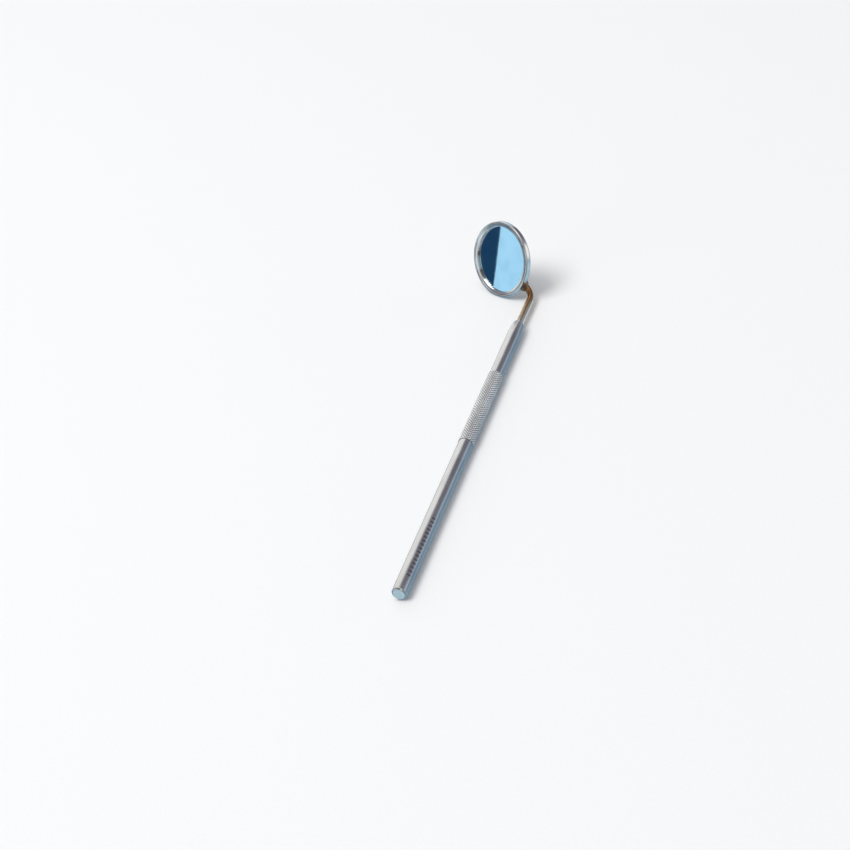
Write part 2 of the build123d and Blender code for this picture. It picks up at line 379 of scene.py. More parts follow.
def marked_stainless(looks):
    """The turned stainless finish with a row of plain etched ticks, dull and darker than the bar."""
    material = turned_stainless(looks)
    material.name = "marked_stainless"
    tree = material.node_tree
    shader = tree.nodes["Principled BSDF"]
    place = add_node(tree, "ShaderNodeTexCoord", output="Object")
    from_rear = add_node(
        tree, "ShaderNodeVectorMath", {"operation": "SUBTRACT", 1: tuple(REAR)}, {0: place}
    )
    along = add_node(tree, "ShaderNodeSeparateXYZ", links={"Vector": from_rear})
    towards_side = add_node(
        tree,
        "ShaderNodeVectorMath",
        {"operation": "DOT_PRODUCT", 1: tuple(SIDE)},
        {0: from_rear},
        output="Value",
    )
    # The count of ticks so far rises by one in each pitch, and a tick fills the middle third of it.
    row = {"From Min": MARK_START, "From Max": MARK_START + MARK_COUNT * MARK_PITCH, "To Max": MARK_COUNT}
    count = add_node(tree, "ShaderNodeMapRange", row, {"Value": along})
    off_whole = add_node(tree, "ShaderNodeMath", {"operation": "PINGPONG", 1: 0.5}, {0: count})
    is_tick = add_node(tree, "ShaderNodeMath", {"operation": "GREATER_THAN", 1: 0.33}, {0: off_whole})
    edge = BARREL_R * math.cos(MARK_ANGLE)
    is_beside = add_node(tree, "ShaderNodeMath", {"operation": "GREATER_THAN", 1: edge}, {0: towards_side})
    mark = add_node(tree, "ShaderNodeMath", {"operation": "MULTIPLY"}, {0: is_tick, 1: is_beside})
    bar_colour = shader.inputs["Base Color"].links[0].from_socket
    colour = add_node(
        tree,
        "ShaderNodeMix",
        {"data_type": "RGBA", 7: linear("#807C80")},
        {0: mark, 6: bar_colour},
        output=2,
    )
    tree.links.new(colour, shader.inputs["Base Color"])
    bar_roughness = shader.inputs["Roughness"].links[0].from_socket
    roughness = add_node(
        tree, "ShaderNodeMix", {"data_type": "FLOAT", 3: 0.42}, {0: mark, 2: bar_roughness}
    )
    tree.links.new(roughness, shader.inputs["Roughness"])
    return material


def knurled_stainless(looks):
    """Rolled diamond knurl in stainless: burnished crests, and duller grooves whose base colour is darkened
    towards black as painted shade.
    """
    material, tree, shader, place = new_material("knurled_stainless", Metallic=0.75)
    crest = add_node(tree, "ShaderNodeAttribute", {"attribute_name": "crest_height"}, output="Fac")
    grain = stretched_noise(tree, place, (0.3, 0.3, 0.3), detail=4.0)
    patches = stretched_noise(tree, place, (6.0, 3.0, 3.0))
    # The base colour runs from near black at the grooves' floor up to the crest's tone: painted shade in the
    # grooves.
    painted_groove_shade_to_crest = [(0.0, linear("#1E1D21")), (0.26, linear("#A9A8AB")), (0.5, (*looks.knurl, 1.0))]
    colour = add_node(tree, "ShaderNodeValToRGB", links={"Fac": crest}, stops=painted_groove_shade_to_crest)
    worn = add_node(
        tree,
        "ShaderNodeValToRGB",
        links={"Fac": patches},
        stops=two_tones(linear("#D8D6D4"), linear("#FFFFFF")),
    )
    shaded = add_node(
        tree,
        "ShaderNodeMix",
        {"data_type": "RGBA", "blend_type": "MULTIPLY", 0: 0.5},
        {6: colour, 7: worn},
        output=2,
    )
    tree.links.new(shaded, shader.inputs["Base Color"])
    finish(tree, shader, rough=(crest, 0.45, 0.22), bumps=[(grain, 0.006)], rough_from=(0.0, 1.0))
    return material


def heat_tinted_stainless(looks):
    """Stainless rod straw-coloured by brazing heat: golden brown by the cup, paler towards the nose, with
    polishing lines along it."""
    material, tree, shader, place = new_material("heat_tinted_stainless", Metallic=1.0)
    along = add_node(tree, "ShaderNodeSeparateXYZ", links={"Vector": place})
    nose = REAR[0] + HANDLE_LENGTH
    heated = {"From Min": nose - 2 * MM, "From Max": nose + 20 * MM}
    heat = add_node(tree, "ShaderNodeMapRange", heated, {"Value": along})
    cloud = stretched_noise(tree, place, (3.0, 1.5, 1.5), detail=4.0)
    cloudy_heat = add_node(
        tree, "ShaderNodeMath", {"operation": "MULTIPLY_ADD", 1: 0.5}, {0: cloud, 2: heat}
    )
    lines = stretched_noise(tree, place, (4.0, 0.10, 0.10), detail=2.0)
    tints = [(0.25, linear("#F0E2D0")), (0.75, (*looks.tint, 1.0)), (1.0, linear("#BC8550"))]
    finish(tree, shader, (cloudy_heat, tints), (cloud, 0.07, 0.16), [(lines, 0.0007)])
    return material


def polished_pressed_steel(looks):
    """Pressed stainless sheet, buffed bright: faint orange peel from the press and hair-fine scratches."""
    material, tree, shader, place = new_material("polished_pressed_steel", Metallic=1.0)
    peel = stretched_noise(tree, place, (0.9, 0.9, 0.9), detail=2.0)
    hairs = stretched_noise(tree, place, (0.08, 2.5, 0.9), detail=2.0)
    haze = stretched_noise(tree, place, (4.0, 4.0, 4.0), detail=5.0)
    tones = two_tones(linear("#D9D7D4"), (*looks.cup, 1.0))
    finish(tree, shader, (haze, tones), (haze, 0.09, 0.14), [(peel, 0.004), (hairs, 0.0006)])
    return material


def silver_braze(looks):
    """Silver brazing alloy as it froze: a rippled, warm grey skin with brown flux stain."""
    material, tree, shader, place = new_material("silver_braze", Metallic=1.0)
    ripple = stretched_noise(tree, place, (0.5, 0.5, 0.5))
    stain = stretched_noise(tree, place, (1.2, 1.2, 1.2), detail=5.0)
    tones = two_tones(linear("#7A6248"), (*looks.braze, 1.0))
    finish(tree, shader, (stain, tones), (stain, 0.42, 0.24), [(ripple, 0.03)])
    return material


def polished_float_glass(looks):
    """Clear float glass with a polished face: sharp reflections, slightly dulled by wiping marks."""
    material, tree, shader, place = new_material(
        "polished_float_glass", Transmission_Weight=1.0, IOR=1.52, Base_Color=linear("#F6FBFC")
    )
    wipes = stretched_noise(tree, place, (3.0, 0.7, 0.7), detail=5.0)
    finish(tree, shader, rough=(wipes, 0.0, 0.035), rough_from=(0.45, 0.8))
    return material


def silvered_mirror(looks):
    """Silver laid on the back of the glass: almost a perfect mirror, very slightly cool."""
    material, tree, shader, place = new_material("silvered_mirror", Metallic=1.0)
    cloud = stretched_noise(tree, place, (5.0, 5.0, 5.0), detail=4.0)
    tones = two_tones(linear("#E9ECF0"), (*looks.silver, 1.0))
    finish(tree, shader, (cloud, tones), (cloud, 0.004, 0.02))
    return material


def moulded_nitrile(looks):
    """Black nitrile rubber ring, moulded: matte with a faint grain."""
    material, tree, shader, place = new_material("moulded_nitrile", IOR=1.52)
    grain = stretched_noise(tree, place, (0.15, 0.15, 0.15))
    tones = two_tones(linear("#17171A"), linear("#26262A"))
    finish(tree, shader, (grain, tones), (grain, 0.5, 0.7), [(grain, 0.01)])
    return material


def cured_cement(looks):
    """Cured sealing cement: dull, slightly grainy and tan."""
    material, tree, shader, place = new_material("cured_cement", IOR=1.5)
    grain = stretched_noise(tree, place, (0.25, 0.25, 0.25), detail=4.0)
    tones = two_tones(linear("#8A7E6E"), linear("#A79B89"))
    finish(tree, shader, (grain, tones), (grain, 0.55, 0.8), [(grain, 0.02)])
    return material


def mirror_back_paint(looks):
    """Grey lacquer brushed on the silver's back: a soft gloss with brush lines."""
    material, tree, shader, place = new_material("mirror_back_paint", IOR=1.5)
    lines = stretched_noise(tree, place, (6.0, 0.3, 0.3))
    tones = two_tones(linear("#4B5056"), linear("#5C6269"))
    finish(tree, shader, (lines, tones), (lines, 0.35, 0.5), [(lines, 0.004)])
    return material


def packing_card(looks):
    """Pale grey-board disc: matte, with short felted fibres."""
    material, tree, shader, place = new_material("packing_card", IOR=1.45)
    fibres = stretched_noise(tree, place, (1.2, 0.2, 0.5), detail=5.0)
    tones = two_tones(linear("#BDB6A8"), linear("#D6D0C2"))
    finish(tree, shader, (fibres, tones), (fibres, 0.75, 0.95), [(fibres, 0.03)])
    return material


def studio_paper(stage):
    """Seamless studio paper: matte and pale, with a very faint tooth."""
    material, tree, shader, place = new_material("studio_paper", IOR=1.4)
    tooth = stretched_noise(tree, place, (0.8, 0.8, 0.8))
    pale = (*stage.floor, 1.0)
    slightly_darker = tuple(0.985 * channel for channel in stage.floor) + (1.0,)
    finish(tree, shader, (tooth, two_tones(slightly_darker, pale)), (tooth, 0.85, 0.95))
    return material


# ---- what a user would change ----------------------------------------------------------------------
def length_property(name, description, default_mm):
    """A length with a default in millimetres."""
    return FloatProperty(
        name=name, description=description, default=default_mm * MM, min=0.0, unit="LENGTH"
    )


def angle_property(name, description, default_degrees):
    """An angle with a default in degrees."""
    return FloatProperty(
        name=name,
        description=description,
        default=math.radians(default_degrees),
        subtype="ANGLE",
        unit="ROTATION",
    )


def colour_property(name, description, hex_colour):
    """A colour with a hex default."""
    return FloatVectorProperty(
        name=name,
        description=description,
        default=linear(hex_colour)[:3],
        min=0.0,
        max=1.0,
        size=3,
        subtype="COLOR",
    )


class MIRROR_PG_sizes(PropertyGroup):
    """Sizes of the details that the finished pieces add."""

    knurl_count: IntProperty(
        name="Knurl Count", description="Diamonds round the grip", default=16, min=8, max=60
    )
    knurl_depth: length_property("Knurl Depth", "Depth of the knurl's grooves", 0.23)
    knurl_helix: angle_property("Knurl Helix", "Angle of the grooves to the handle's axis", 42)
    edge_break: length_property("Edge Break", "Rounding of turned edges", 0.05)
    nose_taper: length_property("Nose Taper", "Length of the nose's curve", 7.0)
    nose_radius: length_property("Nose Radius", "Radius of the nose at its face", 1.75)
    braze_height: length_property("Braze Height", "Height of the brazed mound on the cup", 1.88)


class MIRROR_PG_looks(PropertyGroup):
    """Base colours of the finishes."""

    steel: colour_property("Turned Steel", "Brightest tone of the barrels", "#E2E1DF")
    knurl: colour_property("Knurl Crests", "Tone of the knurl's crests", "#FAF9F7")
    tint: colour_property("Heat Tint", "Straw tint on the stem", "#E2B88A")
    cup: colour_property("Polished Steel", "Brightest tone of the cup and ring", "#EFEDEA")
    braze: colour_property("Braze", "Clean brazing metal", "#B4957A")
    silver: colour_property("Silvering", "Reflecting layer of the mirror", "#F4F6F8")


class MIRROR_PG_stage(PropertyGroup):
    """Camera, floor and light."""

    camera_azimuth: angle_property("Camera Azimuth", "Way the camera looks, from +Y towards +X", 63.8)
    camera_drop: angle_property("Camera Drop", "How far the camera looks down", 34.5)
    camera_roll: angle_property("Camera Roll", "Turn of the camera about its own axis", 15.5)
    camera_distance: length_property("Camera Distance", "From the camera to the point it looks at", 500)
    lens: FloatProperty(
        name="Lens", description="Focal length in millimetres", default=76.6, min=10.0, max=300.0
    )
    floor: colour_property("Floor", "Pale studio paper", "#F6F5F4")
    key_power: FloatProperty(
        name="Key", description="Power of the overhead softbox in watts", default=34.0, min=0.0
    )


# ---- pieces ---------------------------------------------------------------------------------------
class MIRROR_OT_end_plug(Operator):
    """Plug with a chamfered face that closes the rear of the handle."""

    bl_idname = "mouth_mirror.end_plug"
    bl_label = "End Plug"

    def execute(self, context):
        sizes, looks = context.scene.mirror_sizes, context.scene.mirror_looks
        edge = sizes.edge_break
        outline = profile(
            [
                (0.0, 0.0, 0),
                (0.0, BARREL_R - PLUG_CHAMFER, 2 * edge),
                (PLUG_CHAMFER, BARREL_R, 2 * edge),
                (PLUG_HEAD, BARREL_R, 0.2 * edge),
                (PLUG_HEAD, JOINT_R, 0.2 * edge),
                (PLUG_LENGTH, JOINT_R, edge),
                (PLUG_LENGTH, 0.0, 0),
            ]
        )
        points, radius = on_handle(outline, HANDLE_COLUMNS)
        surface = round_surface(points, radius, closed_rows=False)
        steel = turned_stainless(looks)
        mesh_object("end_plug_turned", *surface, "handle", steel, "end_plug", "handle_steel")
        return {"FINISHED"}


class MIRROR_OT_rear_barrel(Operator):
    """Plain tube of the handle's rear half."""

    bl_idname = "mouth_mirror.rear_barrel"
    bl_label = "Rear Barrel"

    def execute(self, context):
        sizes, looks = context.scene.mirror_sizes, context.scene.mirror_looks
        edge = 0.2 * sizes.edge_break
        outline = profile(
            [
                (PLUG_HEAD, JOINT_R, edge),
                (PLUG_HEAD, BARREL_R, edge),
                (GRIP_START, BARREL_R, edge),
                (GRIP_START, JOINT_R, edge),
            ],
            closed=True,
            steps=3,
        )
        points, radius = on_handle(outline, HANDLE_COLUMNS)
        surface = round_surface(points, radius, closed_rows=True)
        steel = marked_stainless(looks)
        mesh_object("rear_barrel_turned", *surface, "handle", steel, "rear_barrel", "handle_steel")
        return {"FINISHED"}


class MIRROR_OT_knurled_grip(Operator):
    """Thicker band with a real diamond knurl, its spigot and its socket."""

    bl_idname = "mouth_mirror.knurled_grip"
    bl_label = "Knurled Grip"

    def execute(self, context):
        sizes, looks = context.scene.mirror_sizes, context.scene.mirror_looks
        steps = 12                # points along and across each diamond
        columns = sizes.knurl_count * steps
        diamond = TURN * GRIP_R / sizes.knurl_count / math.tan(sizes.knurl_helix)
        rows = int((GRIP_END - GRIP_START) / diamond * steps) + 1
        rear = profile(
            [
                (REAR_SPIGOT_START, 0.0, 0),
                (REAR_SPIGOT_START, JOINT_R, SPIGOT_ROUNDING),
                (GRIP_START, JOINT_R, INSIDE_ROUNDING),
                (GRIP_START, SHOULDER_R, 0),
            ]
        )
        band = np.stack([np.linspace(GRIP_START, GRIP_END, rows), np.full(rows, GRIP_R)], axis=1)
        front = profile(
            [
                (GRIP_END, SHOULDER_R, 0),
                (GRIP_END, JOINT_R, 0.05 * MM),
                (FRONT_SPIGOT_START, JOINT_R, INSIDE_ROUNDING),
                (FRONT_SPIGOT_START, 0.0, 0),
            ]
        )

        def knurl(along, angle, radius):
            """Radius lowered by two sets of V-grooves that cross: each set's depth follows the distance to
            the nearest groove, and a flat is left on every crest. The ends have a chamfer."""
            round_count = sizes.knurl_count * angle / TURN
            length_count = (along - GRIP_START) / diamond
            first = np.abs((round_count + length_count) % 1.0 * 2 - 1)
            second = np.abs((round_count - length_count) % 1.0 * 2 - 1)
            # The flanks reach the full radius before the crest's middle, which leaves the flat.
            rise = np.clip(1.7 * (1 - np.maximum(first, second)), 0, 1)
            cut = GRIP_R - sizes.knurl_depth * (1 - rise)
            chamfer = GRIP_R - GRIP_CHAMFER + np.minimum(along - GRIP_START, GRIP_END - along)
            return np.where(radius == GRIP_R, np.minimum(cut, chamfer), radius)

        points, radius = on_handle(np.concatenate([rear, band, front]), columns, knurl)
        vertices, triangles = round_surface(points, radius, closed_rows=False)
        steel = knurled_stainless(looks)
        piece = mesh_object(
            "knurled_grip_rolled", vertices, triangles, "handle", steel, "knurled_grip", "knurl_steel"
        )
        to_axis = np.linalg.norm(np.cross(vertices - REAR, AXIS), axis=1)
        height = np.clip((to_axis - GRIP_R + sizes.knurl_depth) / sizes.knurl_depth, 0, 1)
        crest = piece.data.attributes.new("crest_height", "FLOAT", "POINT")
        crest.data.foreach_set("value", height.astype(np.float32))
        return {"FINISHED"}


class MIRROR_OT_front_barrel(Operator):
    """Front barrel with its curved nose, ring pocket and tapped bore."""

    bl_idname = "mouth_mirror.front_barrel"
    bl_label = "Front Barrel"

    def execute(self, context):
        sizes, looks = context.scene.mirror_sizes, context.scene.mirror_looks
        outside = profile(
            [
                (FRONT_SPIGOT_START, 0.0, 0),
                (FRONT_SPIGOT_START, JOINT_R, SPIGOT_ROUNDING),
                (GRIP_END, JOINT_R, INSIDE_ROUNDING),
                (GRIP_END, BARREL_R, sizes.edge_break),
                (GRIP_END + 2 * MM, BARREL_R, 0),
            ]
        )
        nose = self.nose_curve(sizes)
        face = profile(
            [
                (*nose[-1], 0),
                (HANDLE_LENGTH, sizes.nose_radius - 0.05 * MM, 0.08 * MM),
                (HANDLE_LENGTH, POCKET_R, 0.04 * MM),
                (SEAL_START, POCKET_R, INSIDE_ROUNDING),
                (SEAL_START, BORE_R, 0),
            ]
        )
        bore_end = STEM_TIP - BORE_PAST_STEM
        rows_per_turn = 12
        rows = int((SEAL_START - bore_end) / PITCH * rows_per_turn)
        bore = np.stack([np.linspace(SEAL_START, bore_end, rows)[1:], np.full(rows - 1, BORE_R)], axis=1)
        outline = np.concatenate([outside, nose, face[1:], bore, [[bore_end, 0.0]]])

        def tapped(along, angle, radius):
            """Radius of the bore raised by the groove of a right-hand thread."""
            groove = thread_height(
                along, angle, FEMALE_START, FEMALE_LENGTH, GROOVE_MOUTH_WIDTH, GROOVE_FLOOR_WIDTH
            )
            return np.where(radius == BORE_R, BORE_R + (GROOVE_R - BORE_R) * groove, radius)

        points, radius = on_handle(outline, 96, tapped)
        surface = round_surface(points, radius, closed_rows=False)
        steel = turned_stainless(looks)
        mesh_object("front_barrel_turned", *surface, "handle", steel, "front_barrel", "handle_steel")
        return {"FINISHED"}

    def nose_curve(self, sizes):
        """Arc of a circle that is tangent to the barrel and has fallen to the nose's radius at its face.

        With a drop d over a length t, the circle's radius is (t squared + d squared) / 2d.
        """
        drop = BARREL_R - sizes.nose_radius
        arc_r = (sizes.nose_taper**2 + drop**2) / (2 * drop)
        along = np.linspace(0, sizes.nose_taper - 0.15 * MM, 24)
        radius = BARREL_R - arc_r + np.sqrt(arc_r**2 - along**2)
        return np.stack([HANDLE_LENGTH - sizes.nose_taper + along, radius], axis=1)


class MIRROR_OT_seal_ring(Operator):
    """Thin rubber ring in the nose's pocket."""

    bl_idname = "mouth_mirror.seal_ring"
    bl_label = "Seal Ring"

    def execute(self, context):
        looks = context.scene.mirror_looks
        inner = STEM_R + SEAL_GAP
        end = HANDLE_LENGTH - SEAL_RECESS
        outline = profile(
            [
                (SEAL_START, inner, 0.08 * MM),
                (SEAL_START, SEAL_R, 0.08 * MM),
                (end, SEAL_R, 0.1 * MM),
                (end, inner, 0.1 * MM),
            ],
            closed=True,
        )
        points, radius = on_handle(outline, 72)
        surface = round_surface(points, radius, closed_rows=True)
        rubber = moulded_nitrile(looks)
        mesh_object("seal_ring_moulded", *surface, "nose_seal", rubber, "seal_ring", "seal_rubber")
        return {"FINISHED"}


class MIRROR_OT_stem(Operator):
    """Bent rod from its threaded spigot in the handle to its flat on the cup's back."""

    bl_idname = "mouth_mirror.stem"
    bl_label = "Stem"

    def execute(self, context):
        looks = context.scene.mirror_looks
        setback = STEM_BEND_R * math.tan(HEAD_ANGLE / 2)
        first_run = HANDLE_LENGTH + CORNER_FROM_NOSE - setback
        last_run = CORNER_TO_CENTRE - HEAD_R + STEM_LAP - setback
        # Each row's place is (distance along the first run, angle turned, distance along the last run).
        spigot = np.linspace(STEM_TIP, MALE_START + MALE_LENGTH + PITCH, 190)
        plain = np.linspace(spigot[-1] + MM, first_run, 24)
        turned = np.linspace(0, HEAD_ANGLE, 28)[1:]
        lap = np.linspace(0, last_run, 16)[1:]
        run = np.concatenate([spigot, plain, np.full(len(turned) + len(lap), first_run)])
        turn = np.concatenate([np.zeros(len(spigot) + len(plain)), turned, np.full(len(lap), HEAD_ANGLE)])
        last = np.concatenate([np.zeros(len(run) - len(lap)), lap])
        centre = REAR + run[:, None] * AXIS
        centre = centre + STEM_BEND_R * (np.sin(turn)[:, None] * AXIS + (1 - np.cos(turn))[:, None] * BEND)
        centre = centre + last[:, None] * ALONG_DISC
        upright = np.cos(turn)[:, None] * BEND - np.sin(turn)[:, None] * AXIS

        columns = 64
        angle = angles(columns)[None, :]
        tooth = thread_height(
            run[:, None], angle, MALE_START, MALE_LENGTH, TOOTH_ROOT_WIDTH, TOOTH_CREST_WIDTH
        )
        tooth = np.where(turn[:, None] > 0, 0, tooth)
        radius = STEM_R + (TOOTH_R - STEM_R) * tooth
        # The first and last rows draw in to round the rod's ends.
        radius[0] = STEM_R * 0.85
        radius[-1] = STEM_R * 0.80
        radius[-2] = STEM_R * 0.95
        spoke = np.cos(angle)[..., None] * upright[:, None] + np.sin(angle)[..., None] * SIDE
        points = centre[:, None] + radius[..., None] * spoke

        # The flat: nothing of the end on the cup rises above the cup's back.
        height = (points - DISC_CENTRE) @ DISC_NORMAL
        off_disc = np.linalg.norm(points - DISC_CENTRE - height[..., None] * DISC_NORMAL, axis=2)
        excess = np.where(off_disc < HEAD_R, np.maximum(height - CUP_BACK, 0), 0)
        points = points - excess[..., None] * DISC_NORMAL

        # One more row of equal points at each end becomes its middle.
        ends = np.stack([np.repeat(centre[:1], columns, axis=0), np.repeat(centre[-1:], columns, axis=0)])
        points = np.concatenate([ends[:1], points, ends[1:]])
        radius = np.concatenate([np.zeros((1, columns)), radius, np.zeros((1, columns))])
        surface = round_surface(points, radius, closed_rows=False)
        mesh_object("stem_bent", *surface, "head", heat_tinted_stainless(looks), "stem", "stem_steel")
        return {"FINISHED"}


class MIRROR_OT_mirror_cup(Operator):
    """Pressed cup with its rounded edge and rolled rim."""

    bl_idname = "mouth_mirror.mirror_cup"
    bl_label = "Mirror Cup"

    def execute(self, context):
        looks = context.scene.mirror_looks
        back, floor, rim = -0.79, -0.45, 1.34
        flat, inside, outside = 6.0, 11.10, 11.985
        edge_round, rim_round = 0.75, 0.43
        outline = profile(
            mm(
                (back, 0.0, 0),
                (back, flat, 0),
                (back, outside, edge_round),
                (rim, outside, rim_round),
                (rim, inside, rim_round),
                (floor, inside, 0.1),
                (floor, flat, 0),
                (floor, 0.0, 0),
            ),
            steps=12,
        )
        points, radius = on_disc(outline, HEAD_COLUMNS)
        surface = round_surface(points, radius, closed_rows=False)
        steel = polished_pressed_steel(looks)
        mesh_object("mirror_cup_pressed", *surface, "head", steel, "mirror_cup", "cup_steel")
        return {"FINISHED"}


class MIRROR_OT_braze_fillet(Operator):
    """Mound of brazing metal that wraps the stem's end on the cup's back: a rippled ellipsoid cut off by
    the back of the cup."""

    bl_idname = "mouth_mirror.braze_fillet"
    bl_label = "Braze Fillet"

    def execute(self, context):
        sizes, looks = context.scene.mirror_sizes, context.scene.mirror_looks
        rows, columns = 64, 120
        place, half_length, half_width = -10.0 * MM, 3.15 * MM, 1.95 * MM
        down = np.linspace(0, math.pi, rows)[:, None]
        angle = angles(columns)[None, :]
        ripple = 1 + 0.05 * np.sin(3 * angle + 0.6) + 0.03 * np.sin(5 * angle)
        radius = np.sin(down) * np.ones_like(angle)
        radius[[0, -1]] = 0
        length = place + half_length * radius * np.cos(angle) * ripple
        width = half_width * radius * np.sin(angle) * ripple
        height = CUP_BACK + sizes.braze_height * np.cos(down) * np.ones_like(angle)
        # The cup's back is flat up to its rounded edge, where it rises as a quarter circle. The mound goes
        # a little way into it, so that no gap shows.
        off_centre = np.hypot(length, width)
        past_flat = np.clip(off_centre - (HEAD_R - CUP_EDGE_R), 0, CUP_EDGE_R)
        back = CUP_BACK + CUP_EDGE_R - np.sqrt(CUP_EDGE_R**2 - past_flat**2) + 0.03 * MM
        height = np.where(off_centre < HEAD_R - 0.02 * MM, np.minimum(height, back), height)
        across = np.cross(DISC_NORMAL, ALONG_DISC)
        flat = length[..., None] * ALONG_DISC + width[..., None] * across
        points = DISC_CENTRE + flat + height[..., None] * DISC_NORMAL
        surface = round_surface(points, radius, closed_rows=False)
        mesh_object("braze_fillet_run", *surface, "head", silver_braze(looks), "braze_fillet", "braze_metal")
        return {"FINISHED"}


class MIRROR_OT_retaining_ring(Operator):
    """Ring with a sloping face, and a skirt pressed into the cup."""

    bl_idname = "mouth_mirror.retaining_ring"
    bl_label = "Retaining Ring"

    def execute(self, context):
        looks = context.scene.mirror_looks
        opening, shoulder = 10.40, 11.00
        skirt_inside, skirt_outside, skirt_foot = 10.95, 11.09, -0.10
        glass_face = 0.80
        outline = profile(
            mm(
                (glass_face, opening, 0.02),
                (1.10, opening, 0.05),
                (1.32, shoulder, 0.08),
                (0.95, shoulder, 0.03),
                (0.85, skirt_outside, 0.03),
                (skirt_foot, skirt_outside, 0.03),
                (skirt_foot, skirt_inside, 0.03),
                (glass_face, skirt_inside, 0.03),
            ),
            closed=True,
        )
        points, radius = on_disc(outline, HEAD_COLUMNS)
        surface = round_surface(points, radius, closed_rows=True)
        steel = polished_pressed_steel(looks)
        mesh_object("retaining_ring_spun", *surface, "head", steel, "retaining_ring", "cup_steel")
        return {"FINISHED"}


class MIRROR_OT_mirror_glass(Operator):
    """Bevelled round glass and the silver film behind it."""

    bl_idname = "mouth_mirror.mirror_glass"
    bl_label = "Mirror Glass"

    def execute(self, context):
        looks = context.scene.mirror_looks
        # The glass starts just above the film, so that the two surfaces never share a place.
        back, face, edge, bevel = 0.01, 0.79, 10.49, 0.14
        glass = profile(
            mm(
                (back, 0, 0),
                (back, edge, 0.04),
                (face - bevel, edge, 0.03),
                (face, edge - bevel, 0.03),
                (face, 0, 0),
            )
        )
        points, radius = on_disc(glass, GLASS_COLUMNS)
        surface = round_surface(points, radius, closed_rows=False)
        clear = polished_float_glass(looks)
        mesh_object("mirror_glass_cut", *surface, "head", clear, "mirror_glass", "glass")

        film_r, film_back = 10.4, -FILM_THICKNESS / MM
        film = profile(
            mm((film_back, 0, 0), (film_back, film_r, 0.01), (0, film_r, 0.01), (0, 0, 0)), steps=2
        )
        points, radius = on_disc(film, GLASS_COLUMNS)
        surface = round_surface(points, radius, closed_rows=False)
        silver = silvered_mirror(looks)
        mesh_object("silver_film_laid", *surface, "head", silver, "silver_film", "silvering")
        return {"FINISHED"}


class MIRROR_OT_inner_pieces(Operator):
    """Finishes of the pieces sealed inside the cup, whose solids are shown as they are."""

    bl_idname = "mouth_mirror.inner_pieces"
    bl_label = "Inner Pieces"

    def execute(self, context):
        looks = context.scene.mirror_looks
        finishes = {
            "edge_seal": cured_cement,
            "backing_paint": mirror_back_paint,
            "backing_disc": packing_card,
        }
        for node_name, make_finish in finishes.items():
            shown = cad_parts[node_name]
            shown.data.materials.clear()
            shown.data.materials.append(make_finish(looks))
        return {"FINISHED"}


# ---- stage ------------------------------------------------------------------------------------------
# The room's light from straight below to straight overhead.
ROOM_HEIGHTS = (
    (0.00, "#97B5C9"),
    (0.35, "#7691A9"),
    (0.50, "#9AA7B6"),
    (0.65, "#8E8D99"),
    (0.80, "#8C8A96"),
    (0.90, "#B9C2CA"),
    (1.00, "#FFFFFF"),
)
# Soft patches of it: azimuth from +X towards +Y, elevation, inner and outer radius in degrees, and colour.
ROOM_PATCHES = (
    (-25, 34, 8, 30, "#75727D"),
    (-165, 32, 20, 50, "#7A716B"),
    (-156, 29, 10, 22, "#C9DCE8"),
    (-78, -34, 10, 30, "#B5D3E6"),
    (-70, 6, 8, 22, "#FFFFFF"),
    (-43, 2, 3, 10, "#A9BFD4"),
    (34, 18, 24, 42, "#FFFFFF"),
    (64, 12, 12, 26, "#F9F5EE"),
    (8, 4, 8, 18, "#B5D3E6"),
    (140, 8, 14, 34, "#DCE8EF"),
    (154, -35, 8, 24, "#C4E4F3"),
    (107, 2, 4, 8, "#1E4160"),
)


def direction(azimuth, elevation):
    """Unit vector towards an azimuth from +X towards +Y and an elevation, both in degrees."""
    a, e = math.radians(azimuth), math.radians(elevation)
    return Vector((math.cos(a) * math.cos(e), math.sin(a) * math.cos(e), math.sin(e)))


def add_softbox(scene, name, width, depth, power, place, turn, hidden):
    """A rectangular light of this size in metres and power in watts, hidden from these kinds of ray."""
    light = bpy.data.lights.new(name, "AREA")
    light.shape = "RECTANGLE"
    light.size = width
    light.size_y = depth
    light.energy = power
    lamp = bpy.data.objects.new(name, light)
    lamp.location = place
    lamp.rotation_euler = turn
    for ray in hidden:
        setattr(lamp, "visible_" + ray, False)
    scene.collection.objects.link(lamp)
    return light


